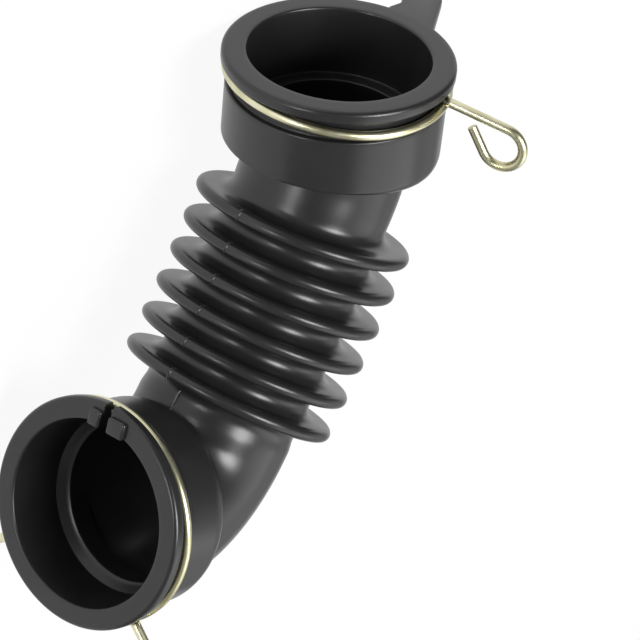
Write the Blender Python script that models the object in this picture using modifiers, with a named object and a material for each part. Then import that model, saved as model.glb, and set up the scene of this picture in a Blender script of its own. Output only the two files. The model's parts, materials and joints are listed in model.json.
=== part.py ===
"""Washing machine dispenser hose: a moulded rubber elbow with a six-fold bellows, and its two wire clamps.

Metres, +Z up. The hose is modelled along its centreline in a level plane, and the empty named resting
then turns and lowers it to the attitude in which it lies still on a floor.

A place on the hose is given by s, the distance along the centreline from the upper face, by a radius,
and by an angle that runs from the inner side of the bends (0) over the top of the lying hose (90 degrees).
"""
import math

import bmesh
import bpy
from mathutils import Matrix, Vector

# Upper socket, sizes measured from its face
UPPER_BORE_R = 0.0236
UPPER_LIP_R = 0.0300
UPPER_COLLAR_R = 0.0285
UPPER_COLLAR_LENGTH = 0.0281
UPPER_SHOULDER_ROUND = 0.0038
UPPER_SHOULDER_SWEEP = 90.0
UPPER_SOCKET_DEPTH = 0.0190

# Lower socket, sizes measured from its face
LOWER_BORE_R = 0.0245
LOWER_LIP_R = 0.0303
LOWER_COLLAR_R = 0.0274
LOWER_COLLAR_LENGTH = 0.0256
LOWER_SHOULDER_ROUND = 0.0070
LOWER_SHOULDER_SWEEP = 55.0
LOWER_SOCKET_DEPTH = 0.0186
LOWER_LEDGE_BORE_R = 0.0226

# Shared by both sockets
LIP_THICKNESS = 0.0031
LIP_ROUND = 0.0012
BORE_CHAMFER = 0.0006
BORE_DRAFT = 0.0004
GROOVE_WIDTH = 0.0062
GROOVE_DEPTH = 0.0031
SHOULDER_FILLET = 0.0008

# Tube between the sockets
NECK_R = 0.0213
ELBOW_R = 0.0217
ELBOW_END_R = 0.0233
ELBOW_BULGE = 0.0021
WALL = 0.0020

# Bellows
FOLDS = 6
FOLD_PITCH = 0.00974
FOLD_THICKNESS = 0.0035
FOLD_CREST_R = 0.0296
FOLD_ROOT_R = 0.0212
FOLD_WALL = 0.0014

# Centreline: straight runs, and bends that all turn to the same side
UPPER_RUN = 0.0235
NECK_BEND = math.radians(25.6)
NECK_BEND_R = 0.0299
RUN_TO_FIRST_FOLD = 0.0118
BELLOWS_BEND = math.radians(8.9)
RUN_AFTER_LAST_FOLD = 0.0117
ELBOW_BEND = math.radians(73.6)
ELBOW_BEND_R = 0.0250
ELBOW_STEP_BACK = 0.0006

# Pull tab in the plane of the upper lip: it points beside the socket's axis, and flares on one side
TAB_ANGLE = math.radians(210.9)
TAB_OFFSET = 0.0161
TAB_WIDTH = 0.0104
TAB_END = 0.0400
TAB_CORNER_R = 0.0035
TAB_FLARE_WIDTH = 0.0026
TAB_FLARE_LENGTH = 0.0032
TAB_THICKNESS = 0.0026
TAB_SET_BACK = 0.0001
TAB_SINK = 0.0015

# Keyway in the lower mouth: a notch between two lugs, on the inner side of the bends
NOTCH_WIDTH = 0.0026
LEFT_LUG_WIDTH = 0.0038
RIGHT_LUG_WIDTH = 0.0056
LUG_HEIGHT = 0.0046
LUG_DROP = 0.0011
LUG_PROUD = 0.0013
NOTCH_SPARE = 0.0006
KEY_ANGLE = math.radians(-3.5)

# Wire clamps: each is one wire, wound once round the groove and lapped between its two ears
WIRE_R = 0.00125
WIRE_GAP = 0.0003
UPPER_EARS = (math.radians(106.7), math.radians(215.0))
UPPER_CROSSOVER = (math.radians(345.0), math.radians(435.0))
LOWER_EARS = (math.radians(134.0), math.radians(230.0))
LOWER_CROSSOVER = (math.radians(390.0), math.radians(480.0))
EAR_REACH = 0.0182
EAR_TILT = math.radians(8.0)
EAR_CORNER_R = 0.0030
HOOK_R = 0.0055
HOOK_SWEEP = math.radians(230.0)
HOOK_TAIL = 0.0072

# Densities, for the balance of the lying hose (kg per cubic metre)
RUBBER_DENSITY = 1150.0
STEEL_DENSITY = 7850.0

# Fineness of the faceted solids
SEGMENTS = 32
ELBOW_STEPS = 9
WIRE_STEP = math.radians(9.0)
HOOK_STEPS = 9
CORNER_STEPS = 3
MERGE = 0.00001

# Worked out from the sizes above
FOLD_FILLET = (FOLD_PITCH - FOLD_THICKNESS) / 2
FIRST_FOLD = UPPER_RUN + NECK_BEND_R * NECK_BEND + RUN_TO_FIRST_FOLD
LAST_FOLD = FIRST_FOLD + FOLD_PITCH * (FOLDS - 1)
ELBOW_START = LAST_FOLD + RUN_AFTER_LAST_FOLD
ELBOW_STOP = ELBOW_START + ELBOW_BEND_R * ELBOW_BEND
TOTAL_RUN = ELBOW_STOP + ELBOW_STEP_BACK + LOWER_SOCKET_DEPTH
STRAND_OFFSET = WIRE_R + WIRE_GAP / 2
GROOVE_MIDDLE = LIP_THICKNESS + GROOVE_WIDTH / 2

RUNS = [
    (UPPER_RUN, 0.0),
    (NECK_BEND_R * NECK_BEND, NECK_BEND),
    (RUN_TO_FIRST_FOLD, 0.0),
    (FOLD_PITCH * (FOLDS - 1), BELLOWS_BEND),
    (RUN_AFTER_LAST_FOLD, 0.0),
    (ELBOW_BEND_R * ELBOW_BEND, ELBOW_BEND),
    (ELBOW_STEP_BACK + LOWER_SOCKET_DEPTH, 0.0),
]


def station(s):
    """Point of the centreline at distance s and its heading there, in the level plane."""
    x = y = heading = 0.0
    left = s
    for length, turn in RUNS:
        part = min(left, length)
        if turn:
            radius = length / turn
            bend = part / radius
            x += radius * (math.sin(heading) - math.sin(heading - bend))
            y += radius * (math.cos(heading - bend) - math.cos(heading))
            heading -= bend
        else:
            x += part * math.cos(heading)
            y += part * math.sin(heading)
        left -= part
        if left <= 0:
            return Vector((x, y, 0.0)), heading
    x += left * math.cos(heading)
    y += left * math.sin(heading)
    return Vector((x, y, 0.0)), heading


def frame(s, angle=0.0):
    """Matrix whose axes are outward at the angle, round the tube, and back towards the upper face."""
    point, heading = station(s)
    ahead = Vector((math.cos(heading), math.sin(heading), 0.0))
    inner = Vector((math.sin(heading), -math.cos(heading), 0.0))
    out = inner * math.cos(angle) + Vector((0.0, 0.0, math.sin(angle)))
    round_ = (-ahead).cross(out)
    matrix = Matrix((out, round_, -ahead)).transposed().to_4x4()
    matrix.translation = point
    return matrix


def smooth(value, start, stop):
    """0 before start and 1 after stop, with an even rise between them."""
    t = min(1.0, max(0.0, (value - start) / (stop - start)))
    return t * t * (3.0 - 2.0 * t)


# Outlines, as lists of (radius, s)

def arc(centre_r, centre_s, radius, start, stop, steps):
    """Round stretch of an outline; 0 degrees points outwards and 90 along the hose."""
    points = []
    for i in range(steps + 1):
        a = math.radians(start + (stop - start) * i / steps)
        points.append((centre_r + radius * math.cos(a), centre_s + radius * math.sin(a)))
    return points


def socket_outside(lip_r, collar_r, length, round_r, sweep):
    """Lip, wire groove, collar and rounded shoulder, from the face back."""
    floor_r = lip_r - GROOVE_DEPTH
    groove_end = LIP_THICKNESS + GROOVE_WIDTH
    return [
        *arc(lip_r - LIP_ROUND, LIP_ROUND, LIP_ROUND, -90, 0, 2),
        (lip_r, LIP_THICKNESS),
        (floor_r, LIP_THICKNESS),
        (floor_r, groove_end),
        (collar_r, groove_end),
        *arc(collar_r - round_r, length - round_r * math.sin(math.radians(sweep)), round_r, 0, sweep, 3),
    ]


def bellows(inset):
    """The folds' outline, from the neck to the elbow: the outside, or the inside when inset is their wall."""
    crest_r = FOLD_CREST_R - FOLD_THICKNESS / 2
    root_r = FOLD_ROOT_R + FOLD_FILLET
    half = FOLD_THICKNESS / 2
    crest_steps, root_steps = (4, 2) if inset == 0 else (2, 3)
    points = arc(NECK_R + FOLD_FILLET, FIRST_FOLD - half - FOLD_FILLET, FOLD_FILLET + inset, -180, -270, 2)
    for fold in range(FOLDS):
        s = FIRST_FOLD + fold * FOLD_PITCH
        points += arc(crest_r, s, half - inset, -90, 90, crest_steps)
        if fold < FOLDS - 1:
            points += arc(root_r, s + FOLD_PITCH / 2, FOLD_FILLET + inset, -90, -270, root_steps)
    points += arc(ELBOW_R + FOLD_FILLET, LAST_FOLD + half + FOLD_FILLET, FOLD_FILLET + inset, -90, -180, 2)
    return points


def elbow(inset):
    """The elbow's outline: an even tube that widens a little towards the lower socket."""
    points = []
    for i in range(ELBOW_STEPS + 1):
        t = i / ELBOW_STEPS
        s = ELBOW_START + (ELBOW_STOP - ELBOW_START) * t
        points.append((ELBOW_R + (ELBOW_END_R - ELBOW_R) * smooth(t, 0.0, 1.0) - inset, s))
    return points


def tube_outline():
    """Closed outline of the upper socket, neck, bellows and elbow: outside down, inside up."""
    foot = UPPER_COLLAR_LENGTH
    shoulder = (UPPER_SHOULDER_ROUND, UPPER_SHOULDER_SWEEP)
    outside = socket_outside(UPPER_LIP_R, UPPER_COLLAR_R, UPPER_COLLAR_LENGTH, *shoulder)
    outside += [(NECK_R + SHOULDER_FILLET, foot), (NECK_R, foot + SHOULDER_FILLET)]
    outside += bellows(0.0) + elbow(0.0)
    ledge = UPPER_SOCKET_DEPTH
    inside = [
        (UPPER_BORE_R + BORE_CHAMFER, 0.0),
        (UPPER_BORE_R, BORE_CHAMFER),
        (UPPER_BORE_R - BORE_DRAFT, ledge),
        (NECK_R - WALL + BORE_CHAMFER, ledge + BORE_CHAMFER),
        (NECK_R - WALL, ledge + 2 * BORE_CHAMFER),
    ]
    inside += bellows(FOLD_WALL) + elbow(WALL)
    return outside + inside[::-1]


def lower_socket_outline():
    """Closed outline of the lower socket; s is 0 at its face and falls towards the upper one."""
    shoulder = (LOWER_SHOULDER_ROUND, LOWER_SHOULDER_SWEEP)
    outside = socket_outside(LOWER_LIP_R, LOWER_COLLAR_R, LOWER_COLLAR_LENGTH, *shoulder)
    inside = [
        (LOWER_BORE_R + BORE_CHAMFER, 0.0),
        (LOWER_BORE_R, BORE_CHAMFER),
        (LOWER_BORE_R - BORE_DRAFT, LOWER_SOCKET_DEPTH),
        (LOWER_LEDGE_BORE_R, LOWER_SOCKET_DEPTH),
        (LOWER_LEDGE_BORE_R, LOWER_COLLAR_LENGTH),
    ]
    return [(r, -depth) for r, depth in outside[::-1] + inside]


# Blender helpers

def clear_scene():
    for obj in list(bpy.data.objects):
        bpy.data.objects.remove(obj, do_unlink=True)


def collection(name):
    group = bpy.data.collections.new(name)
    bpy.context.scene.collection.children.link(group)
    return group


def add_object(name, data, group):
    obj = bpy.data.objects.new(name, data)
    group.objects.link(obj)
    return obj


def evaluated_copy(obj, name, group):
    """A plain mesh object with the first object's modifiers applied; the first object is removed."""
    graph = bpy.context.evaluated_depsgraph_get()
    mesh = bpy.data.meshes.new_from_object(obj.evaluated_get(graph), depsgraph=graph)
    matrix = obj.matrix_world.copy()
    bpy.data.objects.remove(obj, do_unlink=True)
    copy = add_object(name, mesh, group)
    copy.matrix_world = matrix
    bm = bmesh.new()
    bm.from_mesh(mesh)
    bmesh.ops.remove_doubles(bm, verts=bm.verts, dist=MERGE)
    bm.to_mesh(mesh)
    bm.free()
    return copy


def turned(name, outline, group):
    """The closed outline turned round a straight centreline, with s running down."""
    mesh = bpy.data.meshes.new(name)
    points = [(r, 0.0, -s) for r, s in outline]
    count = len(points)
    mesh.from_pydata(points, [(i, (i + 1) % count) for i in range(count)], [])
    straight = add_object(name + "_outline", mesh, group)
    screw = straight.modifiers.new("turn", "SCREW")
    screw.axis = "Z"
    screw.steps = SEGMENTS
    screw.render_steps = SEGMENTS
    screw.use_merge_vertices = True
    screw.merge_threshold = MERGE
    return evaluated_copy(straight, name, group)


def bend(obj):
    """Bends a straight turned object along the centreline, and swells the outer side of the elbow."""
    for vertex in obj.data.vertices:
        x, y, z = vertex.co
        if x < 0:
            x *= 1 + ELBOW_BULGE / ELBOW_END_R * smooth(-z, ELBOW_START - NECK_R / 2, ELBOW_STOP)
        vertex.co = frame(-z) @ Vector((x, y, 0.0))


def block(name, size, place, group):
    """Box of the given size, centred at the origin of the matrix place."""
    bm = bmesh.new()
    bmesh.ops.create_cube(bm, size=1.0, matrix=Matrix.Diagonal((*size, 1.0)))
    mesh = bpy.data.meshes.new(name)
    bm.to_mesh(mesh)
    bm.free()
    mesh.transform(place)
    return add_object(name, mesh, group)


def plate(name, outline, thickness, place, group):
    """Flat outline made a plate, with half its thickness on each side of the place's own XY plane."""
    curve = bpy.data.curves.new(name, "CURVE")
    curve.dimensions = "2D"
    curve.fill_mode = "BOTH"
    curve.extrude = thickness / 2
    spline = curve.splines.new("POLY")
    spline.points.add(len(outline) - 1)
    for point, (x, y) in zip(spline.points, outline):
        point.co = (x, y, 0.0, 1.0)
    spline.use_cyclic_u = True
    obj = evaluated_copy(add_object(name + "_outline", curve, group), name, group)
    obj.data.transform(place)
    return obj


def wire(name, points, group, material):
    """Round wire through the points, with flat cut ends."""
    curve = bpy.data.curves.new(name, "CURVE")
    curve.dimensions = "3D"
    curve.bevel_depth = WIRE_R
    curve.bevel_resolution = 2
    curve.use_fill_caps = True
    curve.resolution_u = 1
    curve.render_resolution_u = 0
    spline = curve.splines.new("POLY")
    spline.points.add(len(points) - 1)
    for point, place in zip(spline.points, points):
        point.co = (*place, 1.0)
    curve.materials.append(material)
    return add_object(name, curve, group)


def combine(target, other, operation):
    other.hide_render = True
    other.display_type = "WIRE"
    boolean = target.modifiers.new(other.name, "BOOLEAN")
    boolean.operation = operation
    boolean.object = other
    boolean.solver = "EXACT"


# Materials

def principled(name, colour, roughness, metallic):
    material = bpy.data.materials.new(name)
    material.use_nodes = True
    shader = material.node_tree.nodes["Principled BSDF"]
    shader.inputs["Base Color"].default_value = (*colour, 1.0)
    shader.inputs["Roughness"].default_value = roughness
    shader.inputs["Metallic"].default_value = metallic
    material.diffuse_color = (*colour, 1.0)
    return material


def black_rubber():
    return principled("black_rubber", (0.030, 0.030, 0.032), 0.45, 0.0)


def yellow_zinc():
    return principled("yellow_zinc_wire", (0.78, 0.70, 0.38), 0.25, 1.0)


# Pieces

def tab_outline():
    """Pull tab as (outwards, round the lip): it starts inside the rim and ends in two round corners."""
    right, left = -TAB_OFFSET - TAB_WIDTH / 2, -TAB_OFFSET + TAB_WIDTH / 2
    tip = left + TAB_FLARE_WIDTH
    root_r = UPPER_LIP_R - TAB_SINK
    rim = math.sqrt(UPPER_LIP_R ** 2 - tip ** 2)
    corner = TAB_END - TAB_CORNER_R
    return [
        (math.sqrt(root_r ** 2 - right ** 2), right),
        *arc(corner, right + TAB_CORNER_R, TAB_CORNER_R, -90, 0, 4),
        *arc(corner, left - TAB_CORNER_R, TAB_CORNER_R, 0, 90, 4),
        (rim + TAB_FLARE_LENGTH, left),
        (rim, tip),
        (math.sqrt(root_r ** 2 - tip ** 2), tip),
    ]


def make_tab(group):
    place = frame(0.0, TAB_ANGLE) @ Matrix.Translation((0.0, 0.0, -TAB_SET_BACK - TAB_THICKNESS / 2))
    return plate("tab", tab_outline(), TAB_THICKNESS, place, group)


def key_block(name, size, offset, radius, front, group):
    """Box in the keyway: offset round the mouth, inner radius, and how far its front stands proud."""
    height, width, length = size
    place = frame(TOTAL_RUN, KEY_ANGLE)
    place = place @ Matrix.Translation((radius + height / 2, offset, length / 2 - front))
    return block(name, size, place, group)


def make_lugs(group):
    """The two blocks beside the notch, standing proud of the lower face and into the mouth."""
    radius = LOWER_BORE_R - LUG_DROP
    lugs = []
    for name, side, width in (("left_lug", -1, LEFT_LUG_WIDTH), ("right_lug", 1, RIGHT_LUG_WIDTH)):
        size = (LUG_HEIGHT, width, LUG_PROUD + LIP_THICKNESS - NOTCH_SPARE)
        lugs.append(key_block(name, size, side * (NOTCH_WIDTH + width) / 2, radius, LUG_PROUD, group))
    return lugs


def make_notch(group):
    """Cutter that opens the lower lip between the lugs, right through to the wire groove."""
    front = LUG_PROUD + NOTCH_SPARE
    size = (LOWER_LIP_R - LOWER_BORE_R + 2 * NOTCH_SPARE, NOTCH_WIDTH, LIP_THICKNESS + front + NOTCH_SPARE)
    return key_block("notch", size, 0.0, LOWER_BORE_R - NOTCH_SPARE, front, group)


def make_hose(parts, helpers):
    hose = turned("hose", tube_outline(), parts)
    bend(hose)
    hose.data.materials.append(black_rubber())
    lower_socket = turned("lower_socket", lower_socket_outline(), helpers)
    lower_socket.data.transform(frame(TOTAL_RUN))
    combine(hose, lower_socket, "UNION")
    combine(hose, make_tab(helpers), "UNION")
    for lug in make_lugs(helpers):
        combine(hose, lug, "UNION")
    combine(hose, make_notch(helpers), "DIFFERENCE")
    hose.data.shade_smooth()
    hose.data.set_sharp_from_angle(angle=math.radians(40))
    return hose


def ear_points(depth, ring_r, side):
    """Ear as (radius, depth, offset round the hose), from the ring to the cut end of its hook."""
    points = []
    for i in range(1, CORNER_STEPS + 1):
        a = math.pi / 2 * i / CORNER_STEPS
        radius = ring_r + EAR_CORNER_R * (1 - math.cos(a))
        points.append((radius, depth, -side * EAR_CORNER_R * (1 - math.sin(a))))
    rise = math.tan(EAR_TILT)
    end_r = ring_r + EAR_REACH
    centre_r = end_r - HOOK_R * math.sin(EAR_TILT)
    centre_d = depth + (end_r - ring_r) * rise + HOOK_R * math.cos(EAR_TILT)
    for i in range(HOOK_STEPS + 1):
        a = EAR_TILT - math.pi / 2 + HOOK_SWEEP * i / HOOK_STEPS
        points.append((centre_r + HOOK_R * math.cos(a), centre_d + HOOK_R * math.sin(a), 0.0))
    heading = EAR_TILT + HOOK_SWEEP
    last_r, last_d = points[-1][:2]
    points.append((last_r + HOOK_TAIL * math.cos(heading), last_d + HOOK_TAIL * math.sin(heading), 0.0))
    return points


def clamp_points(ears, crossover, lip_r, place):
    """The wire from one cut end to the other; place turns (radius, depth, angle, offset) into a point."""
    ring_r = lip_r - GROOVE_DEPTH + WIRE_GAP + WIRE_R
    near, far = GROOVE_MIDDLE - STRAND_OFFSET, GROOVE_MIDDLE + STRAND_OFFSET
    start, stop = ears[0], ears[1] + 2 * math.pi
    corner = EAR_CORNER_R / ring_r
    points = [place(r, d, start, o) for r, d, o in ear_points(near, ring_r, -1)[::-1]]
    turns = round((stop - start - 2 * corner) / WIRE_STEP)
    for i in range(turns + 1):
        angle = start + corner + (stop - start - 2 * corner) * i / turns
        depth = near + (far - near) * smooth(angle, *crossover)
        points.append(place(ring_r, depth, angle, 0.0))
    points += [place(r, d, stop, o) for r, d, o in ear_points(far, ring_r, 1)]
    return points


def upper_place(radius, depth, angle, offset):
    return frame(0.0, angle) @ Vector((radius, offset, -depth))


def lower_place(radius, depth, angle, offset):
    return frame(TOTAL_RUN, angle) @ Vector((radius, offset, depth))


def make_clamps(parts):
    zinc = yellow_zinc()
    upper = clamp_points(UPPER_EARS, UPPER_CROSSOVER, UPPER_LIP_R, upper_place)
    lower = clamp_points(LOWER_EARS, LOWER_CROSSOVER, LOWER_LIP_R, lower_place)
    return [wire("upper_clamp", upper, parts, zinc), wire("lower_clamp", lower, parts, zinc)]


# Resting attitude

def weighed_mesh(obj, density, bm):
    """Adds the object's evaluated mesh to bm and returns its mass and its mass times centroid."""
    graph = bpy.context.evaluated_depsgraph_get()
    mesh = bpy.data.meshes.new_from_object(obj.evaluated_get(graph), depsgraph=graph)
    mesh.calc_loop_triangles()
    volume = 0.0
    moment = Vector()
    for triangle in mesh.loop_triangles:
        a, b, c = (mesh.vertices[i].co for i in triangle.vertices)
        piece = a.dot(b.cross(c)) / 6
        volume += piece
        moment += piece * (a + b + c) / 4
    bm.from_mesh(mesh)
    bpy.data.meshes.remove(mesh)
    return density * volume, density * moment


def resting_matrix(weighed):
    """Turns the side that the hose can lie on to the floor, and its length to X."""
    bm = bmesh.new()
    mass = 0.0
    moment = Vector()
    for obj, density in weighed:
        m, mm = weighed_mesh(obj, density, bm)
        mass += m
        moment += mm
    centre = moment / mass
    result = bmesh.ops.convex_hull(bm, input=bm.verts, use_existing_faces=False)
    faces = {g for g in result["geom"] if isinstance(g, bmesh.types.BMFace)}
    down = Vector((0.0, 0.0, -1.0))
    best = None
    for face in faces:
        corners = [v.co for v in face.verts]
        normal = (corners[1] - corners[0]).cross(corners[2] - corners[0]).normalized()
        if normal.dot(corners[0] - centre) < 0:
            normal.negate()
            corners.reverse()
        if best is not None and normal.dot(down) <= best.dot(down):
            continue
        edges = zip(corners, corners[1:] + corners[:1])
        if all((b - a).cross(centre - a).dot(normal) >= 0 for a, b in edges):
            best = normal
    lay = best.rotation_difference(down).to_matrix()
    points = [lay @ v.co for v in bm.verts]
    length = lay @ station(TOTAL_RUN)[0]
    turn = Matrix.Rotation(-math.atan2(length.y, length.x), 3, "Z")
    points = [turn @ p for p in points]
    low = Vector([min(p[i] for p in points) for i in range(3)])
    high = Vector([max(p[i] for p in points) for i in range(3)])
    bm.free()
    matrix = (turn @ lay).to_4x4()
    matrix.translation = -Vector(((low.x + high.x) / 2, (low.y + high.y) / 2, low.z))
    return matrix


def main():
    clear_scene()
    parts = collection("dispenser_hose")
    helpers = collection("helpers")
    hose = make_hose(parts, helpers)
    clamps = make_clamps(parts)
    bpy.context.view_layer.update()
    weighed = [(hose, RUBBER_DENSITY)] + [(clamp, STEEL_DENSITY) for clamp in clamps]
    resting = add_object("resting", None, parts)
    resting.matrix_world = resting_matrix(weighed)
    for obj in [hose, *clamps, *helpers.objects]:
        obj.parent = resting
    bpy.context.view_layer.update()


main()
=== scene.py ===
# %% [markdown]
# # Washing machine dispenser hose
# This hose carries water and detergent from the dispenser drawer down to the tub.
# It is one rubber moulding: a socket at each end, a bellows that lets the tub shake,
# and an elbow. A bent wire clamp sits in a groove behind each lip.
#
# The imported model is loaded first. It fixes the size and the place of every piece,
# so nothing here has to be fitted by eye.

# %% Load the frame
import json
import math

import bmesh
import bpy
from mathutils import Euler, Matrix, Vector


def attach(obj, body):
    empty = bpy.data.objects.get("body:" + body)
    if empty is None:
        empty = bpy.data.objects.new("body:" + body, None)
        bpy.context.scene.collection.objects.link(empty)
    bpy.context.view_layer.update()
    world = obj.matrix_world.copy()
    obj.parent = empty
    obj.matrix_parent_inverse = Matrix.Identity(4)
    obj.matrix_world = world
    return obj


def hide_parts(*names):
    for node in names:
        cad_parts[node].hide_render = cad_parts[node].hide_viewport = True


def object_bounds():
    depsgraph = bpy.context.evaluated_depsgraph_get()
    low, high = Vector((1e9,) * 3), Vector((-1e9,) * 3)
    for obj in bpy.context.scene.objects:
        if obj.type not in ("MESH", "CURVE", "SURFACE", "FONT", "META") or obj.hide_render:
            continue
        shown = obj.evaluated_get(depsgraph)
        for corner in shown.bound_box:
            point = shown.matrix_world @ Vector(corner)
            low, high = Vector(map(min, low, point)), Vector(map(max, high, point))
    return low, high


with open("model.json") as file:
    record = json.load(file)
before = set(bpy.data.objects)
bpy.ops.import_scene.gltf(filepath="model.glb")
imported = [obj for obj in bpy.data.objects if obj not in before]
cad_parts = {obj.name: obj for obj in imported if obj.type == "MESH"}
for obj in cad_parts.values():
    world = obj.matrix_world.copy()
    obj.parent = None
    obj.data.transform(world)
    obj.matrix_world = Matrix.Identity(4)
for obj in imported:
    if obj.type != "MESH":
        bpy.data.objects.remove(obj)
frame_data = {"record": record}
cad_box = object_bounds()
print("model box in mm:", [tuple(round(v * 1000, 1) for v in corner) for corner in cad_box])

# %% [markdown]
# ## Sizes
# The hose is drawn as a fitter would measure it: radii round a centreline, and
# distances along it from the upper face. Lengths are in metres. A sweep, and the places
# round a socket where a wire starts and crosses, are in degrees, which are easier to
# read; the other angles are in radians.

# %% Sizes of the sockets
UPPER = {
    "bore": 0.0236, "lip": 0.0300, "collar": 0.0285, "length": 0.0281,
    "round": 0.0038, "sweep": 90.0, "depth": 0.0190,
}
LOWER = {
    "bore": 0.0245, "lip": 0.0303, "collar": 0.0274, "length": 0.0256,
    "round": 0.0070, "sweep": 55.0, "depth": 0.0186, "ledge_bore": 0.0213,
}
LIP_THICKNESS, LIP_ROUND = 0.0031, 0.0012
BORE_CHAMFER, BORE_DRAFT = 0.0006, 0.0004
GROOVE_WIDTH, GROOVE_DEPTH = 0.0062, 0.0031
SHOULDER_FILLET = 0.0008

# %% Sizes of the tube and the bellows
NECK_R, ELBOW_R, ELBOW_END_R, ELBOW_BULGE = 0.0213, 0.0217, 0.0233, 0.0021
WALL, FOLD_WALL = 0.0020, 0.0014
FOLDS, FOLD_PITCH, FOLD_THICKNESS = 6, 0.00974, 0.0035
FOLD_CREST_R, FOLD_ROOT_R = 0.0296, 0.0212
FOLD_FILLET = (FOLD_PITCH - FOLD_THICKNESS) / 2

UPPER_RUN = 0.0235
NECK_BEND, NECK_BEND_R = math.radians(25.6), 0.0299
RUN_TO_FIRST_FOLD = 0.0118
BELLOWS_BEND = math.radians(8.9)
RUN_AFTER_LAST_FOLD = 0.0117
ELBOW_BEND, ELBOW_BEND_R = math.radians(73.6), 0.0250
ELBOW_STEP_BACK = 0.0006

FIRST_FOLD = UPPER_RUN + NECK_BEND_R * NECK_BEND + RUN_TO_FIRST_FOLD
LAST_FOLD = FIRST_FOLD + FOLD_PITCH * (FOLDS - 1)
ELBOW_START = LAST_FOLD + RUN_AFTER_LAST_FOLD
ELBOW_STOP = ELBOW_START + ELBOW_BEND_R * ELBOW_BEND
TOTAL_RUN = ELBOW_STOP + ELBOW_STEP_BACK + LOWER["depth"]
RUNS = [
    (UPPER_RUN, 0.0), (NECK_BEND_R * NECK_BEND, NECK_BEND), (RUN_TO_FIRST_FOLD, 0.0),
    (FOLD_PITCH * (FOLDS - 1), BELLOWS_BEND), (RUN_AFTER_LAST_FOLD, 0.0),
    (ELBOW_BEND_R * ELBOW_BEND, ELBOW_BEND), (ELBOW_STEP_BACK + LOWER["depth"], 0.0),
]
print("centreline is", round(TOTAL_RUN * 1000, 1), "mm long, with", FOLDS, "folds")

# %% [markdown]
# ## The hose's own frame
# The hose lies askew on the floor, so its shapes are easier to make in a frame of
# their own: X runs into the upper socket along the centreline, Z is the top of the
# lying hose, and the bends all turn in the level plane between them. The record gives
# the direction and one point of each lip face, which is enough to find that frame.
# The lower face then tells whether the centreline below really ends where it should.

# %% Find the hose's frame from the two lip faces
def face_middle(socket):
    """Radius of the middle of the flat ring of a lip's face, where the record's point is."""
    return (socket["bore"] + BORE_CHAMFER + socket["lip"] - LIP_ROUND) / 2


faces = {m["name"]: (Vector(m["pos_m"]), Vector(m["axis"])) for m in frame_data["record"]["mounts"]}
upper_point, upper_out = faces["upper_face"]
lower_point, lower_out = faces["lower_face"]
along = -upper_out.normalized()
top = upper_out.cross(lower_out).normalized()
HOSE = Matrix((along, top.cross(along), top)).transposed().to_4x4()
HOSE.translation = upper_point - face_middle(UPPER) * top


def station(s):
    """Point of the centreline at distance s and its heading there, in the hose's frame."""
    x = y = heading = 0.0
    left = s
    for length, turn in RUNS:
        part = min(left, length)
        if turn:
            radius = length / turn
            bend = part / radius
            x += radius * (math.sin(heading) - math.sin(heading - bend))
            y += radius * (math.cos(heading - bend) - math.cos(heading))
            heading -= bend
        else:
            x += part * math.cos(heading)
            y += part * math.sin(heading)
        left -= part
        if left <= 0:
            break
    return Vector((x, y, 0.0)), heading


def frame(s, angle=0.0):
    """Axes at a place on the hose: outward at the angle, round the tube, and back to the upper face."""
    point, heading = station(s)
    ahead = Vector((math.cos(heading), math.sin(heading), 0.0))
    inner = Vector((math.sin(heading), -math.cos(heading), 0.0))
    out = inner * math.cos(angle) + Vector((0.0, 0.0, math.sin(angle)))
    matrix = Matrix((out, (-ahead).cross(out), -ahead)).transposed().to_4x4()
    matrix.translation = point
    return matrix


reached = HOSE @ (station(TOTAL_RUN)[0] + Vector((0.0, 0.0, face_middle(LOWER))))
print("lower face is off by", round((reached - lower_point).length * 1000, 3), "mm")

# %% [markdown]
# ## Camera
# The photograph was taken from far away with a long lens, looking down at the hose and
# rolled to one side. The camera is given in the hose's frame, because it was found by
# matching the sockets, the folds and the wires, and then goes with the hose.

# %% Place the camera
camera_data = bpy.data.cameras.new("photo_camera")
camera_data.sensor_width = 36.0
camera_data.lens = 146.25
camera_data.clip_start, camera_data.clip_end = 0.01, 20.0
camera = bpy.data.objects.new("photo_camera", camera_data)
bpy.context.scene.collection.objects.link(camera)
seen_from = Euler((math.radians(-41.049), math.radians(-48.871), math.radians(97.726)), "XYZ")
camera.matrix_world = HOSE @ Matrix.LocRotScale(Vector((-0.321585, -0.456799, 0.350927)), seen_from, None)
bpy.context.scene.camera = camera
print("camera stands", round(camera.matrix_world.translation.z * 1000), "mm above the floor")

# %% [markdown]
# ## Helpers for nodes
# A node tree is easier to read when each node takes one line. `put` adds a node and
# fills or links its inputs, `grow` gives an object a Geometry Nodes tree, and `settle`
# turns whatever the modifiers made into a plain mesh.

# %% Node helpers
def put(tree, kind, inputs=None, **settings):
    """Adds a node. Each input is given by name or number, as a value or as a socket to link from."""
    made = tree.nodes.new(kind)
    for name, value in settings.items():
        setattr(made, name, value)
    for socket, value in (inputs or {}).items():
        if isinstance(value, bpy.types.NodeSocket):
            tree.links.new(value, made.inputs[socket])
        else:
            made.inputs[socket].default_value = value
    return made


def new_tree(name, inputs):
    """Geometry Nodes tree with named inputs, and its input and output nodes."""
    tree = bpy.data.node_groups.new(name, "GeometryNodeTree")
    tree.interface.new_socket("Geometry", in_out="INPUT", socket_type="NodeSocketGeometry")
    for label, kind in inputs.items():
        tree.interface.new_socket(label, in_out="INPUT", socket_type="NodeSocket" + kind)
    tree.interface.new_socket("Geometry", in_out="OUTPUT", socket_type="NodeSocketGeometry")
    return tree, tree.nodes.new("NodeGroupInput").outputs, tree.nodes.new("NodeGroupOutput").inputs


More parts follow.
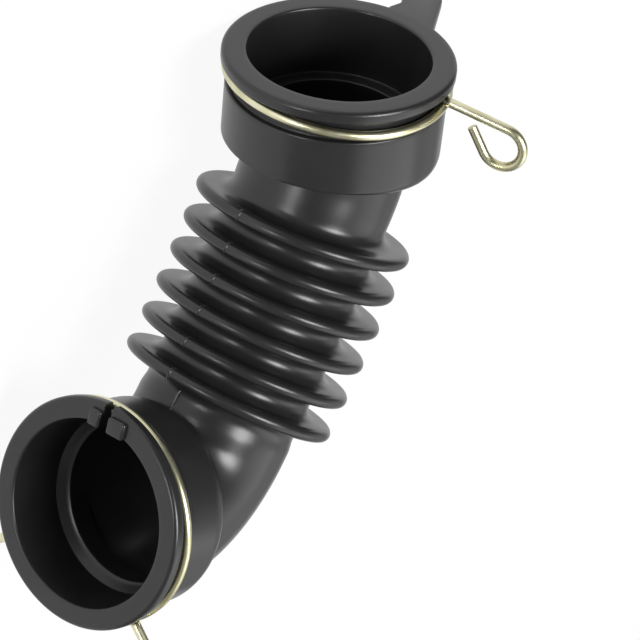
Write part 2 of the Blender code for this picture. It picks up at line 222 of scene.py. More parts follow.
def grow(obj, tree, values):
    """Adds the tree to the object as a modifier, with its inputs set by their identifiers."""
    modifier = obj.modifiers.new(tree.name, "NODES")
    modifier.node_group = tree
    sockets = {i.name: i.identifier for i in tree.interface.items_tree if i.in_out == "INPUT"}
    for name, value in values.items():
        modifier[sockets[name]] = value


def add_object(name, data):
    obj = bpy.data.objects.new(name, data)
    bpy.context.scene.collection.objects.link(obj)
    return obj


WELD_GAP = 0.000002


def settle(obj, name, sharp=None):
    """Plain mesh object made from what the modifiers show; the first object is removed."""
    bpy.context.view_layer.update()
    graph = bpy.context.evaluated_depsgraph_get()
    mesh = bpy.data.meshes.new_from_object(obj.evaluated_get(graph), depsgraph=graph)
    bpy.data.objects.remove(obj, do_unlink=True)
    mesh.name = name
    bm = bmesh.new()
    bm.from_mesh(mesh)
    bmesh.ops.remove_doubles(bm, verts=bm.verts, dist=WELD_GAP)
    bmesh.ops.recalc_face_normals(bm, faces=bm.faces)
    bm.to_mesh(mesh)
    bm.free()
    if sharp is not None:
        mesh.shade_smooth()
        mesh.set_sharp_from_angle(angle=math.radians(sharp))
    return add_object(name, mesh)


# %% [markdown]
# ## Black rubber
# Moulded EPDM rubber is nearly black, with a satin skin: it shows soft, wide lights
# rather than sharp ones. Close up the skin has a very fine grain from the mould, and
# the gloss changes a little from patch to patch where the rubber flowed and cooled.
# Two noises do this, one for the grain and one for the patches.

# %% Make the rubber
PATCH_SCALE, GRAIN_SCALE = 90.0, 2600.0


def black_rubber():
    material = bpy.data.materials.new("black_rubber")
    material.use_nodes = True
    tree = material.node_tree
    shader = tree.nodes["Principled BSDF"]
    place = put(tree, "ShaderNodeTexCoord").outputs["Object"]
    patches = put(tree, "ShaderNodeTexNoise", {
        "Vector": place, "Scale": PATCH_SCALE, "Detail": 4.0, "Roughness": 0.6,
    })
    grain = put(tree, "ShaderNodeTexNoise", {"Vector": place, "Scale": GRAIN_SCALE, "Detail": 2.0})
    tint = put(tree, "ShaderNodeValToRGB", {"Fac": patches.outputs["Fac"]})
    tint.color_ramp.elements[0].position, tint.color_ramp.elements[1].position = 0.3, 0.7
    tint.color_ramp.elements[0].color = (0.014, 0.014, 0.015, 1.0)
    tint.color_ramp.elements[1].color = (0.018, 0.018, 0.019, 1.0)
    gloss = put(
        tree, "ShaderNodeMapRange",
        {"Value": patches.outputs["Fac"], "From Min": 0.3, "From Max": 0.7, "To Min": 0.30, "To Max": 0.34},
    )
    bump = put(tree, "ShaderNodeBump", {"Height": grain.outputs["Fac"], "Strength": 0.05, "Distance": 0.0001})
    tree.links.new(tint.outputs["Color"], shader.inputs["Base Color"])
    tree.links.new(gloss.outputs["Result"], shader.inputs["Roughness"])
    tree.links.new(bump.outputs["Normal"], shader.inputs["Normal"])
    shader.inputs["Specular IOR Level"].default_value = 0.5
    return material


RUBBER = black_rubber()

# %% [markdown]
# ## Yellow zinc
# The clamps are spring steel wire with a bright zinc coat, passivated yellow. The
# yellow is a thin film, so it wanders between straw and olive along the wire. A broad
# noise gives the base colour that wander. A finer one varies the gloss a little and
# adds a trace of bump, as handling does to a new coat.

# %% Make the wire's finish
FILM_SCALE, WEAR_SCALE = 140.0, 700.0


def yellow_zinc():
    material = bpy.data.materials.new("yellow_zinc_wire")
    material.use_nodes = True
    tree = material.node_tree
    shader = tree.nodes["Principled BSDF"]
    place = put(tree, "ShaderNodeTexCoord").outputs["Object"]
    film = put(tree, "ShaderNodeTexNoise", {"Vector": place, "Scale": FILM_SCALE, "Detail": 3.0})
    wear = put(tree, "ShaderNodeTexNoise", {"Vector": place, "Scale": WEAR_SCALE, "Detail": 2.0})
    tint = put(tree, "ShaderNodeValToRGB", {"Fac": film.outputs["Fac"]})
    tint.color_ramp.elements[0].position, tint.color_ramp.elements[1].position = 0.32, 0.68
    tint.color_ramp.elements[0].color = (0.61, 0.58, 0.36, 1.0)
    tint.color_ramp.elements[1].color = (0.79, 0.77, 0.55, 1.0)
    gloss = put(
        tree, "ShaderNodeMapRange",
        {"Value": wear.outputs["Fac"], "From Min": 0.3, "From Max": 0.7, "To Min": 0.32, "To Max": 0.37},
    )
    bump = put(tree, "ShaderNodeBump", {
        "Height": wear.outputs["Fac"], "Strength": 0.01, "Distance": 0.0001,
    })
    tree.links.new(tint.outputs["Color"], shader.inputs["Base Color"])
    tree.links.new(gloss.outputs["Result"], shader.inputs["Roughness"])
    tree.links.new(bump.outputs["Normal"], shader.inputs["Normal"])
    shader.inputs["Metallic"].default_value = 1.0
    return material


ZINC = yellow_zinc()

# %% [markdown]
# ## Outlines
# A socket, a fold and a tube are all round, so each is drawn once as an outline of
# radius and distance and then turned. `arc` draws the round stretches. The real lip,
# groove and shoulder all have soft edges, because the rubber has to come out of its
# mould, so the sharp corners of the model get small rounds here.

# %% Outline helpers
def arc(centre_r, centre_s, radius, start, stop, steps):
    """Round stretch of an outline; 0 degrees points outwards and 90 along the hose."""
    points = []
    for i in range(steps + 1):
        a = math.radians(start + (stop - start) * i / steps)
        points.append((centre_r + radius * math.cos(a), centre_s + radius * math.sin(a)))
    return points


def eased(value, start, stop):
    """0 before start and 1 after stop, with an even rise between them."""
    t = min(1.0, max(0.0, (value - start) / (stop - start)))
    return t * t * (3.0 - 2.0 * t)


EDGE = 0.0004


def socket_outside(socket):
    """Lip, wire groove, collar and shoulder, from the face back, with softened edges."""
    lip, collar, round_r = socket["lip"], socket["collar"], socket["round"]
    floor_r = lip - GROOVE_DEPTH
    groove_end = LIP_THICKNESS + GROOVE_WIDTH
    turn_s = socket["length"] - round_r * math.sin(math.radians(socket["sweep"]))
    return [
        *arc(lip - LIP_ROUND, LIP_ROUND, LIP_ROUND, -90, 0, 8),
        *arc(lip - EDGE, LIP_THICKNESS - EDGE, EDGE, 0, 90, 3),
        *arc(floor_r + EDGE, LIP_THICKNESS + EDGE, EDGE, -90, -180, 3),
        *arc(floor_r + EDGE, groove_end - EDGE, EDGE, -180, -270, 3),
        *arc(collar - EDGE, groove_end + EDGE, EDGE, -90, 0, 3),
        *arc(collar - round_r, turn_s, round_r, 0, socket["sweep"], 10),
    ]


def bore(socket, ledge_r, slope):
    """Chamfered mouth, bore and ledge, from the face in.

    The slope is how far the ledge's outer edge is raised towards the mouth.
    """
    depth, bore_r = socket["depth"], socket["bore"] - BORE_DRAFT
    return [
        *arc(socket["bore"] + BORE_CHAMFER, BORE_CHAMFER, BORE_CHAMFER, -90, -180, 4),
        *arc(bore_r - EDGE, depth - slope - EDGE, EDGE, 0, 60, 3),
        *arc(ledge_r + EDGE, depth + EDGE, EDGE, -90, -180, 3),
    ]


LONGEST_STEP = 0.0013


def finer(chain):
    """The same outline with long stretches split, so that a corner shades only its own edge."""
    points = [chain[0]]
    for (r0, s0), (r1, s1) in zip(chain, chain[1:]):
        parts = max(1, math.ceil(math.hypot(r1 - r0, s1 - s0) / LONGEST_STEP))
        points += [(r0 + (r1 - r0) * i / parts, s0 + (s1 - s0) * i / parts) for i in range(1, parts + 1)]
    return points


def outline_object(name, chains):
    """Mesh object of bare edges from chains of (radius, s), with s running down."""
    points, edges = [], []
    for chain in chains:
        first = len(points)
        points += [(r, 0.0, -s) for r, s in finer(chain)]
        edges += [(i, i + 1) for i in range(first, len(points) - 1)]
    mesh = bpy.data.meshes.new(name)
    mesh.from_pydata(points, edges, [])
    return add_object(name, mesh)


# %% [markdown]
# ## Bellows
# All the folds are alike, so only one is drawn: half a root, the crest, and half a
# root, once for the outside and once for the inside of the wall. A Geometry Nodes tree
# stands a copy at every pitch and joins the ends to the neck and the elbow. That
# keeps the number of folds and their pitch as two inputs that can be changed later.

# %% One fold, and the tree that repeats it
def fold_outline(inset):
    """One fold from the middle of a root to the middle of the next, round s = 0."""
    half = FOLD_THICKNESS / 2
    root_r = FOLD_ROOT_R + FOLD_FILLET
    return [
        *arc(root_r, -FOLD_PITCH / 2, FOLD_FILLET + inset, -180, -270, 6),
        *arc(FOLD_CREST_R - half, 0.0, half - inset, -90, 90, 14),
        *arc(root_r, FOLD_PITCH / 2, FOLD_FILLET + inset, -90, -180, 6),
    ]


JOIN_GAP = 0.00001


def repeat_tree():
    """Stands copies of an object along the hose, from the first distance, one pitch apart."""
    inputs = {
        "Copy of": "Object", "Count": "Int", "First": "Float", "Pitch": "Float", "Finish": "Material",
    }
    tree, given, result = new_tree("repeat_along_hose", inputs)
    down = [
        put(tree, "ShaderNodeMath", {0: given[k], 1: -1.0}, operation="MULTIPLY") for k in ("First", "Pitch")
    ]
    start = put(tree, "ShaderNodeCombineXYZ", {"Z": down[0].outputs[0]})
    step = put(tree, "ShaderNodeCombineXYZ", {"Z": down[1].outputs[0]})
    places = put(tree, "GeometryNodeMeshLine", {
        "Count": given["Count"], "Start Location": start.outputs[0], "Offset": step.outputs[0],
    })
    shape = put(tree, "GeometryNodeObjectInfo", {"Object": given["Copy of"]})
    copies = put(tree, "GeometryNodeInstanceOnPoints", {
        "Points": places.outputs["Mesh"], "Instance": shape.outputs["Geometry"],
    })
    both = put(tree, "GeometryNodeJoinGeometry")
    tree.links.new(copies.outputs[0], both.inputs[0])
    tree.links.new(given["Geometry"], both.inputs[0])
    real = put(tree, "GeometryNodeRealizeInstances", {0: both.outputs[0]})
    joined = put(tree, "GeometryNodeMergeByDistance", {"Geometry": real.outputs[0], "Distance": JOIN_GAP})
    finished = put(tree, "GeometryNodeSetMaterial", {
        "Geometry": joined.outputs[0], "Material": given["Finish"],
    })
    tree.links.new(finished.outputs[0], result[0])
    return tree


REPEAT = repeat_tree()

# %% [markdown]
# ## Bending along the centreline
# The turned hose starts out straight, with its distances running down. This tree looks
# up each point's distance on the centreline, a curve of straight runs and round bends,
# and moves the point there, square to the curve. The elbow's outer side also
# swells a little on its way to the lower socket, as on the real hose.

# %% The centreline and the tree that bends along it
def centreline_object():
    """Curve with a point about every half millimetre, so that lengths along it are true."""
    count = int(TOTAL_RUN / 0.0005)
    curve = bpy.data.curves.new("centreline", "CURVE")
    curve.dimensions = "3D"
    spline = curve.splines.new("POLY")
    spline.points.add(count)
    for i, point in enumerate(spline.points):
        point.co = (*station(TOTAL_RUN * i / count)[0], 1.0)
    return add_object("centreline", curve)


def bend_tree():
    """Moves each point of a straight hose to its place along the centreline."""
    inputs = {
        "Centreline": "Object", "Swell": "Float", "Swell start": "Float", "Swell stop": "Float",
        "Finish": "Material",
    }
    tree, given, result = new_tree("bend_along_centreline", inputs)
    line = put(tree, "GeometryNodeObjectInfo", {"Object": given["Centreline"]})
    where = put(tree, "ShaderNodeSeparateXYZ", {0: put(tree, "GeometryNodeInputPosition").outputs[0]})
    distance = put(tree, "ShaderNodeMath", {0: where.outputs["Z"], 1: -1.0}, operation="MULTIPLY")
    on_line = put(tree, "GeometryNodeSampleCurve", {
        "Curves": line.outputs["Geometry"], "Length": distance.outputs[0],
    }, mode="LENGTH")
    inner = put(tree, "ShaderNodeVectorMath", {
        0: on_line.outputs["Tangent"], 1: (0.0, 0.0, 1.0),
    }, operation="CROSS_PRODUCT")
    swell = put(tree, "ShaderNodeMapRange", {
        "Value": distance.outputs[0], "From Min": given["Swell start"], "From Max": given["Swell stop"],
        "To Min": 1.0, "To Max": given["Swell"],
    }, interpolation_type="SMOOTHSTEP")
    outer_side = put(tree, "ShaderNodeMath", {
        0: where.outputs["X"], 1: 0.0,
    }, operation="LESS_THAN")
    factor = put(tree, "ShaderNodeMix", {"Factor": outer_side.outputs[0], 2: 1.0, 3: swell.outputs[0]})
    across = put(tree, "ShaderNodeMath", {
        0: where.outputs["X"], 1: factor.outputs[0],
    }, operation="MULTIPLY")
    sideways = put(tree, "ShaderNodeVectorMath", {
        0: inner.outputs[0], "Scale": across.outputs[0],
    }, operation="SCALE")
    upwards = put(tree, "ShaderNodeCombineXYZ", {"Z": where.outputs["Y"]})
    offset = put(tree, "ShaderNodeVectorMath", {0: sideways.outputs[0], 1: upwards.outputs[0]})
    target = put(tree, "ShaderNodeVectorMath", {0: on_line.outputs["Position"], 1: offset.outputs[0]})
    moved = put(tree, "GeometryNodeSetPosition", {
        "Geometry": given["Geometry"], "Position": target.outputs[0],
    })
    real = put(tree, "GeometryNodeRealizeInstances", {0: moved.outputs[0]})
    finished = put(tree, "GeometryNodeSetMaterial", {
        "Geometry": real.outputs[0], "Material": given["Finish"],
    })
    tree.links.new(finished.outputs[0], result[0])
    return tree


CENTRELINE = centreline_object()
BEND = bend_tree()
BENT = {
    "Centreline": CENTRELINE, "Swell": 1 + ELBOW_BULGE / ELBOW_END_R,
    "Swell start": ELBOW_START - NECK_R / 2, "Swell stop": ELBOW_STOP, "Finish": RUBBER,
}

# %% [markdown]
# ## Hose body
# The upper socket, the neck and the elbow are outlines too. With the folds between
# them they make one closed outline of the wall, outside and inside. Three modifiers
# then work in turn: the folds are repeated, the outline is turned, and the straight
# hose is bent. The neck and the elbow ease into the roots of the outermost folds.

# %% Turn and bend the body
SEGMENTS, NECK_RINGS, ELBOW_RINGS = 144, 12, 40
ROOT_EASE = 0.004


def turn(obj):
    """Turns an outline round the hose's axis."""
    screw = obj.modifiers.new("turn", "SCREW")
    screw.axis = "Z"
    screw.steps = screw.render_steps = SEGMENTS
    screw.use_merge_vertices = True
    screw.merge_threshold = WELD_GAP


def neck_outline(inset, fold_inset):
    """Upper socket and neck, down to the middle of the root before the first fold."""
    stop = FIRST_FOLD - FOLD_PITCH / 2
    start = UPPER["length"] + SHOULDER_FILLET
    neck, root = NECK_R - inset, FOLD_ROOT_R - fold_inset
    places = [start + (stop - start) * i / NECK_RINGS for i in range(NECK_RINGS + 1)]
    radii = [(neck + (root - neck) * eased(s, stop - ROOT_EASE, stop), s) for s in places]
    if inset:
        return bore(UPPER, neck, 0.0) + radii
    fillet = arc(NECK_R + SHOULDER_FILLET, start, SHOULDER_FILLET, -90, -180, 4)
    return socket_outside(UPPER) + fillet[:-1] + radii


def elbow_outline(inset, fold_inset):
    """Elbow from the middle of the root after the last fold to inside the lower socket."""
    start = LAST_FOLD + FOLD_PITCH / 2
    tube, root = ELBOW_R - inset, FOLD_ROOT_R - fold_inset
    points = []
    for i in range(ELBOW_RINGS + 1):
        s = start + (ELBOW_STOP - start) * i / ELBOW_RINGS
        wide = root + (tube - root) * eased(s, start, start + ROOT_EASE)
        points.append((wide + (ELBOW_END_R - ELBOW_R) * eased(s, ELBOW_START, ELBOW_STOP), s))
    return points


def make_body():
    neck_in, neck_out = neck_outline(WALL, FOLD_WALL), neck_outline(0.0, 0.0)
    elbow_in, elbow_out = elbow_outline(WALL, FOLD_WALL), elbow_outline(0.0, 0.0)
    mouth, foot = [neck_in[0], neck_out[0]], [elbow_out[-1], elbow_in[-1]]
    body = outline_object("body_outline", [neck_out, neck_in, mouth, elbow_out, elbow_in, foot])
    fold = outline_object("fold_outline", [fold_outline(0.0), fold_outline(FOLD_WALL)])
    grow(body, REPEAT, {
        "Copy of": fold, "Count": FOLDS, "First": FIRST_FOLD, "Pitch": FOLD_PITCH, "Finish": RUBBER,
    })
    turn(body)
    grow(body, BEND, BENT)
    made = settle(body, "hose_body")
    bpy.data.objects.remove(fold, do_unlink=True)
    return made


body = make_body()
print("body has", len(body.data.polygons), "faces")

# %% [markdown]
# ## Lower socket
# The lower socket is rigid compared with the elbow, so it stays straight: it is turned
# on its own, set square at the end of the centreline, and welded to the elbow with a
# Boolean. A Boolean leaves the two skins meeting in a crisp crease, which is what the
# real moulding shows there. The ledge inside slopes, so that it shows as one even band.

# %% Turn the lower socket
LEDGE_SLOPE = 0.0020


def make_lower_socket():
    outside = [(r, -s) for r, s in socket_outside(LOWER)]
    ledge_r = LOWER["ledge_bore"]
    inside = [(r, -s) for r, s in bore(LOWER, ledge_r, LEDGE_SLOPE)] + [(ledge_r, -LOWER["length"])]
    ends = [[inside[0], outside[0]], [inside[-1], outside[-1]]]
    socket = outline_object("socket_outline", [outside, inside, *ends])
    turn(socket)
    made = settle(socket, "lower_socket")
    made.data.transform(frame(TOTAL_RUN))
    return made


def combine(target, other, operation):
    """Adds or cuts with a Boolean, applies it, and removes the other object."""
    boolean = target.modifiers.new(operation, "BOOLEAN")
    boolean.operation, boolean.object, boolean.solver = operation, other, "EXACT"
    made = settle(target, target.name)
    bpy.data.objects.remove(other, do_unlink=True)
    return made


lower_socket = make_lower_socket()

# %% [markdown]
# ## Pull tab
# A flat ear in the plane of the upper lip helps the fitter to pull the hose over its
# spigot. It points a little beside the socket's axis and has a flared foot on one side.
# Its outline is made a plate, softened all round with a bevel, then welded to the lip.
# Its face is almost flush with the lip's, so that both read as one surface.

# %% Make the pull tab
TAB = {
    "angle": math.radians(210.9), "offset": 0.0161, "width": 0.0104, "end": 0.0400, "corner": 0.0035,
    "flare_width": 0.0026, "flare_length": 0.0032, "thickness": 0.0026, "set_back": 0.00002, "sink": 0.0015,
}


def plate(name, outline, thickness, place, soft):
    """Outline (outwards, round) made a plate with softened edges, half on each side of the plane."""
    bm = bmesh.new()
    verts = [bm.verts.new((x, y, -thickness / 2)) for x, y in outline]
    face = bm.faces.new(verts)
    raised = bmesh.ops.extrude_face_region(bm, geom=[face])["geom"]
    moved = [v for v in raised if isinstance(v, bmesh.types.BMVert)]
    bmesh.ops.translate(bm, verts=moved, vec=(0.0, 0.0, thickness))
    bmesh.ops.recalc_face_normals(bm, faces=bm.faces)
    rims = [e for e in bm.edges if abs(e.verts[0].co.z - e.verts[1].co.z) < 1e-7]
    bmesh.ops.bevel(bm, geom=rims, offset=soft, segments=3, profile=0.5, affect="EDGES")
    mesh = bpy.data.meshes.new(name)
    bm.to_mesh(mesh)
    bm.free()
    mesh.transform(place)
    mesh.materials.append(RUBBER)
    return add_object(name, mesh)


def tab_outline():
    """Pull tab as (outwards, round the lip): it starts inside the rim and ends in two round corners."""
    right, left = -TAB["offset"] - TAB["width"] / 2, -TAB["offset"] + TAB["width"] / 2
    tip = left + TAB["flare_width"]
    root_r = UPPER["lip"] - TAB["sink"]
    rim = math.sqrt(UPPER["lip"] ** 2 - tip ** 2)
    corner = TAB["end"] - TAB["corner"]
    return [
        (math.sqrt(root_r ** 2 - right ** 2), right),
        *arc(corner, right + TAB["corner"], TAB["corner"], -90, 0, 10),
        *arc(corner, left - TAB["corner"], TAB["corner"], 0, 90, 10),
        (rim + TAB["flare_length"], left),
        (rim, tip),
        (math.sqrt(root_r ** 2 - tip ** 2), tip),
    ]


tab_middle = Matrix.Translation((0.0, 0.0, -TAB["set_back"] - TAB["thickness"] / 2))
tab = plate("tab", tab_outline(), TAB["thickness"], frame(0.0, TAB["angle"]) @ tab_middle, 0.0005)

# %% [markdown]
# ## Parting marks
# The mould's halves met along the inner side of the bends, and left a short raised rib
# over each fold and one below the last. One rib is drawn over one fold, then the two
# trees repeat it and bend it like the folds themselves, so it always follows them.

# %% Make the parting marks
MARK = {
    "width": 0.0010, "proud": 0.00034, "sunk": 0.0005, "from": -115, "to": 45, "steps": 16,
    "below_last_fold": 0.0036, "elbow_length": 0.0062, "elbow_swell": 1.6,
}


def rib(name, top, bottom):
    """Half-round bar at angle 0, with its crown and its sunken bottom given as (radius, s)."""
    half, sides = MARK["width"] / 2, 7
    verts = []
    for (top_r, top_s), (low_r, low_s) in zip(top, bottom):
        for k in range(sides):
            a = math.pi * k / (sides - 1)
            up = math.sin(a)
            down = low_s + (top_s - low_s) * up
            verts.append((low_r + (top_r - low_r) * up, half * math.cos(a), -down))
    last = len(verts) - sides
    faces = [tuple(range(sides)), tuple(range(last + sides - 1, last - 1, -1))]
    for i in range(0, last, sides):
        for k in range(sides):
            after = (k + 1) % sides
            faces.append((i + k, i + sides + k, i + sides + after, i + after))
    mesh = bpy.data.meshes.new(name)
    mesh.from_pydata(verts, [], faces)
    return add_object(name, mesh)


def fold_marks():
    crest = (FOLD_CREST_R - FOLD_THICKNESS / 2, 0.0)
    top = arc(*crest, FOLD_THICKNESS / 2 + MARK["proud"], MARK["from"], MARK["to"], MARK["steps"])
    bottom = arc(*crest, FOLD_THICKNESS / 2 - MARK["sunk"], MARK["from"], MARK["to"], MARK["steps"])
    mark = rib("fold_mark", top, bottom)
    marks = add_object("fold_marks", bpy.data.meshes.new("fold_marks"))
    grow(marks, REPEAT, {
        "Copy of": mark, "Count": FOLDS, "First": FIRST_FOLD, "Pitch": FOLD_PITCH, "Finish": RUBBER,
    })
    grow(marks, BEND, BENT)
    made = settle(marks, "fold_marks")
    bpy.data.objects.remove(mark, do_unlink=True)
    return made


def elbow_mark():
    steps = MARK["steps"]
    start = LAST_FOLD + MARK["below_last_fold"]
    places = [start + MARK["elbow_length"] * i / steps for i in range(steps + 1)]
    height = MARK["elbow_swell"] * MARK["proud"]
    swell = [math.sin(math.pi * i / steps) ** 0.5 * height for i in range(steps + 1)]
    top = [(ELBOW_R + h, s) for s, h in zip(places, swell)]
    mark = rib("elbow_mark", top, [(ELBOW_R - MARK["sunk"], s) for s in places])
    grow(mark, BEND, BENT)
    return settle(mark, "elbow_mark")


marks = [fold_marks(), elbow_mark()]

# %% [markdown]
# ## Keyway
# The lower mouth has a notch between two lugs, so that the hose can only go on the tub
# one way round. The lugs stand a little proud of the lip and into the mouth, and the
# notch cuts the lip right through to the wire.

# %% Make the lugs and the notch
KEY = {
    "notch": 0.0026, "left": 0.0038, "right": 0.0056, "height": 0.0046, "drop": 0.0011,
    "proud": 0.0013, "spare": 0.0006, "angle": math.radians(-3.5),
}


def key_block(name, size, offset, radius, front, soft):
    """Softened box in the keyway, given by its inner radius, its offset and how proud it stands."""
    height, length = size[0], size[2]
    place = frame(TOTAL_RUN, KEY["angle"])
    place = place @ Matrix.Translation((radius + height / 2, offset, length / 2 - front))
    bm = bmesh.new()
    bmesh.ops.create_cube(bm, size=1.0, matrix=Matrix.Diagonal((*size, 1.0)))
    if soft:
        bmesh.ops.bevel(bm, geom=bm.edges[:], offset=soft, segments=3, profile=0.5, affect="EDGES")
    mesh = bpy.data.meshes.new(name)
    bm.to_mesh(mesh)
    bm.free()
    mesh.transform(place)
    mesh.materials.append(RUBBER)
    return add_object(name, mesh)


lug_length = KEY["proud"] + LIP_THICKNESS - KEY["spare"]
lugs = [
    key_block(name, (KEY["height"], KEY[name], lug_length), side * (KEY["notch"] + KEY[name]) / 2,
              LOWER["bore"] - KEY["drop"], KEY["proud"], 0.0007)
    for name, side in (("left", -1), ("right", 1))
]
notch_front = KEY["proud"] + KEY["spare"]
notch_size = (
    LOWER["lip"] - LOWER["bore"] + 2 * KEY["spare"], KEY["notch"],
    LIP_THICKNESS + notch_front + KEY["spare"],
)
notch = key_block("notch", notch_size, 0.0, LOWER["bore"] - KEY["spare"], notch_front, 0.0)

# %% Weld the rubber into one moulding
hose = body
for piece in (lower_socket, tab, *lugs, *marks):
    hose = combine(hose, piece, "UNION")
hose = combine(hose, notch, "DIFFERENCE")
print("hose has", len(hose.data.polygons), "faces after the welds")

# %% [markdown]
# ## Clamps
# Each clamp is one wire. It starts in a hook that a tool or a finger can pinch, winds
# once round the groove, crosses over itself to the next strand, and ends in a second
# hook. Its path follows a rule, so it is worked out as a list of places round the
# socket. A small tree gives the path its round section and its cut ends.

# %% The wire's path
WIRE_R, WIRE_GAP = 0.00125, 0.0003
EAR = {
    "reach": 0.0182, "tilt": math.radians(8.0), "corner": 0.0030,
    "hook": 0.0055, "sweep": math.radians(230.0), "tail": 0.0072,
}
STRAND_OFFSET = WIRE_R + WIRE_GAP / 2
GROOVE_MIDDLE = LIP_THICKNESS + GROOVE_WIDTH / 2
CORNER_STEPS, HOOK_STEPS, RING_STEPS = 8, 32, 180


def ear_points(depth, ring_r, side):
    """Ear as (radius, depth, offset round the hose), from the ring to the cut end of its hook."""
    points = []
    for i in range(1, CORNER_STEPS + 1):
        a = math.pi / 2 * i / CORNER_STEPS
        back = EAR["corner"] * (1 - math.sin(a))
        points.append((ring_r + EAR["corner"] * (1 - math.cos(a)), depth, -side * back))
    tilt, hook = EAR["tilt"], EAR["hook"]
    centre_r = ring_r + EAR["reach"] - hook * math.sin(tilt)
    centre_d = depth + EAR["reach"] * math.tan(tilt) + hook * math.cos(tilt)
    for i in range(HOOK_STEPS + 1):
        a = tilt - math.pi / 2 + EAR["sweep"] * i / HOOK_STEPS
        points.append((centre_r + hook * math.cos(a), centre_d + hook * math.sin(a), 0.0))
    heading = tilt + EAR["sweep"]
    last_r, last_d = points[-1][:2]
    points.append((last_r + EAR["tail"] * math.cos(heading), last_d + EAR["tail"] * math.sin(heading), 0.0))
    return points


def clamp_path(ears, crossover, lip_r, place):
    """The wire from one cut end to the other, as points in the hose's frame."""
    ring_r = lip_r - GROOVE_DEPTH + WIRE_GAP + WIRE_R
    near, far = GROOVE_MIDDLE - STRAND_OFFSET, GROOVE_MIDDLE + STRAND_OFFSET
    start, stop = math.radians(ears[0]), math.radians(ears[1]) + 2 * math.pi
    corner = EAR["corner"] / ring_r
    sweep = stop - start - 2 * corner
    points = [place(r, d, start, o) for r, d, o in ear_points(near, ring_r, -1)[::-1]]
    for i in range(RING_STEPS + 1):
        angle = start + corner + sweep * i / RING_STEPS
        depth = near + (far - near) * eased(angle, math.radians(crossover[0]), math.radians(crossover[1]))
        points.append(place(ring_r, depth, angle, 0.0))
    return points + [place(r, d, stop, o) for r, d, o in ear_points(far, ring_r, 1)]


def upper_place(radius, depth, angle, offset):
    return frame(0.0, angle) @ Vector((radius, offset, -depth))


def lower_place(radius, depth, angle, offset):
    return frame(TOTAL_RUN, angle) @ Vector((radius, offset, depth))


# %% The tree that makes a path a wire
def wire_tree():
    """Round wire of the given radius along a curve, with flat cut ends."""
    inputs = {"Wire radius": "Float", "Sides": "Int", "Finish": "Material"}
    tree, given, result = new_tree("round_wire", inputs)
    section = put(tree, "GeometryNodeCurvePrimitiveCircle", {
        "Resolution": given["Sides"], "Radius": given["Wire radius"],
    })
    swept = put(tree, "GeometryNodeCurveToMesh", {
        "Curve": given["Geometry"], "Profile Curve": section.outputs["Curve"], "Fill Caps": True,
    })
    real = put(tree, "GeometryNodeRealizeInstances", {0: swept.outputs[0]})
    finished = put(tree, "GeometryNodeSetMaterial", {
        "Geometry": real.outputs[0], "Material": given["Finish"],
    })
    tree.links.new(finished.outputs[0], result[0])
    return tree


WIRE = wire_tree()
WIRE_SIDES, WIRE_CREASE = 20, 50


def make_clamp(name, points):
    curve = bpy.data.curves.new(name, "CURVE")
    curve.dimensions = "3D"
    spline = curve.splines.new("POLY")
    spline.points.add(len(points) - 1)
    for point, place in zip(spline.points, points):
        point.co = (*place, 1.0)
    path = add_object(name + "_path", curve)
    grow(path, WIRE, {"Wire radius": WIRE_R, "Sides": WIRE_SIDES, "Finish": ZINC})
    return settle(path, name, sharp=WIRE_CREASE)


UPPER_EARS, UPPER_CROSSOVER = (106.7, 215.0), (345.0, 435.0)
LOWER_EARS, LOWER_CROSSOVER = (134.0, 230.0), (390.0, 480.0)
upper_path = clamp_path(UPPER_EARS, UPPER_CROSSOVER, UPPER["lip"], upper_place)
lower_path = clamp_path(LOWER_EARS, LOWER_CROSSOVER, LOWER["lip"], lower_place)
upper_wire = make_clamp("upper_clamp_wire", upper_path)
lower_wire = make_clamp("lower_clamp_wire", lower_path)
print("each clamp has", len(upper_wire.data.polygons), "faces")

# %% [markdown]
# ## Floor, world and lamps
# The hose lies on a plain white sheet. The sheet is told to look white to the camera
# and in reflections, and mixes in a little of its lit surface so that the hose's soft
# shadow stays. Black rubber shows little but what it reflects, so the lamps are
# what shapes it: three wide softboxes behind and beside the hose, a smaller one
# overhead for the bright spots, and a low strip in front.

# %% Floor and world
WHITE_SHARE, PAPER, FLOOR_HALF = 0.93, (0.88, 0.88, 0.88, 1.0), 4.0
WHITE = (1.0, 1.0, 1.0, 1.0)
WORLD_STRENGTH = 0.12


def make_floor():
    material = bpy.data.materials.new("white_sheet")
    material.use_nodes = True
    tree = material.node_tree
    tree.nodes.clear()
    rays = put(tree, "ShaderNodeLightPath").outputs
    seen = rays["Is Camera Ray"]
    for ray in ("Is Glossy Ray", "Is Transmission Ray"):
        seen = put(tree, "ShaderNodeMath", {0: seen, 1: rays[ray]}, operation="MAXIMUM").outputs[0]
    share = put(tree, "ShaderNodeMath", {0: seen, 1: WHITE_SHARE}, operation="MULTIPLY")
    paper = put(tree, "ShaderNodeBsdfDiffuse", {"Color": PAPER})
    glow = put(tree, "ShaderNodeEmission", {"Color": WHITE, "Strength": 1.0})
    mix = put(tree, "ShaderNodeMixShader", {0: share.outputs[0], 1: paper.outputs[0], 2: glow.outputs[0]})
    put(tree, "ShaderNodeOutputMaterial", {"Surface": mix.outputs[0]})
    mesh = bpy.data.meshes.new("floor")
    half = FLOOR_HALF
    corners = [(-half, -half, 0), (half, -half, 0), (half, half, 0), (-half, half, 0)]
    mesh.from_pydata(corners, [], [(0, 1, 2, 3)])
    mesh.materials.append(material)
    floor = add_object("floor", mesh)


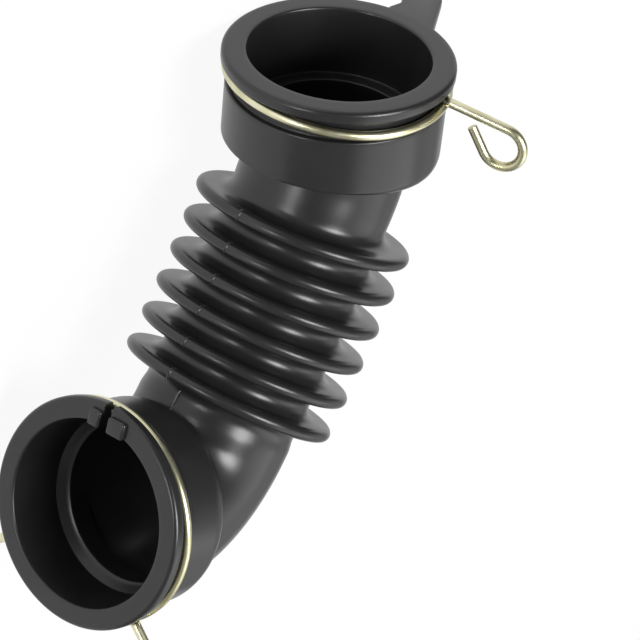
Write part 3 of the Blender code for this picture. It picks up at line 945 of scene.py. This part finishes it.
make_floor()
bpy.context.scene.view_settings.view_transform = "Standard"
world = bpy.data.worlds.new("studio")
bpy.context.scene.world = world
world.use_nodes = True
sky = world.node_tree.nodes["Background"].inputs
sky["Color"].default_value, sky["Strength"].default_value = WHITE, WORLD_STRENGTH

# %% Lamps
hose_middle = (cad_box[0] + cad_box[1]) / 2


def softbox(name, azimuth, elevation, distance, width, height, watts):
    """Area lamp that faces the hose; azimuth from +X and elevation above the floor, in degrees."""
    data = bpy.data.lights.new(name, "AREA")
    data.shape = "RECTANGLE"
    data.size, data.size_y = width, height
    data.energy = watts
    lamp = add_object(name, data)
    turn_by, rise = math.radians(azimuth), math.radians(elevation)
    away = Vector((math.cos(turn_by) * math.cos(rise), math.sin(turn_by) * math.cos(rise), math.sin(rise)))
    lamp.matrix_world = Matrix.LocRotScale(hose_middle + away * distance, away.to_track_quat("Z", "Y"), None)
    print(name, "hangs", round(lamp.matrix_world.translation.z * 1000), "mm above the floor")


softbox("overhead", -126.0, 72.0, 1.0, 0.42, 0.42, 10.5)
softbox("back", 85.0, 28.0, 1.2, 1.4, 0.8, 2.2)
softbox("high_back", 60.0, 58.0, 1.2, 1.2, 0.8, 5.1)
softbox("right_side", -12.0, 28.0, 1.2, 1.4, 1.0, 1.0)
softbox("front_strip", -70.0, 6.0, 0.9, 0.35, 0.10, 1.9)

# %% [markdown]
# ## Finish
# Each piece goes from the hose's frame into the row's frame, so that its object sits at
# the origin, then takes the place of its node and rides on the body.

# %% Put the pieces in place and hand them over
RUBBER_CREASE = 42

hose.data.transform(HOSE)
hose.data.materials.clear()
hose.data.materials.append(RUBBER)
hose.data.shade_smooth()
hose.data.set_sharp_from_angle(angle=math.radians(RUBBER_CREASE))
hose.name = "hose_moulding"
bpy.data.objects.remove(CENTRELINE, do_unlink=True)
for wire in (upper_wire, lower_wire):
    wire.data.transform(HOSE)
for piece, node, slot in (
    (hose, "hose", "rubber"),
    (upper_wire, "upper_clamp", "clamp_wire"),
    (lower_wire, "lower_clamp", "clamp_wire"),
):
    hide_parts(node)
    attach(piece, "root")
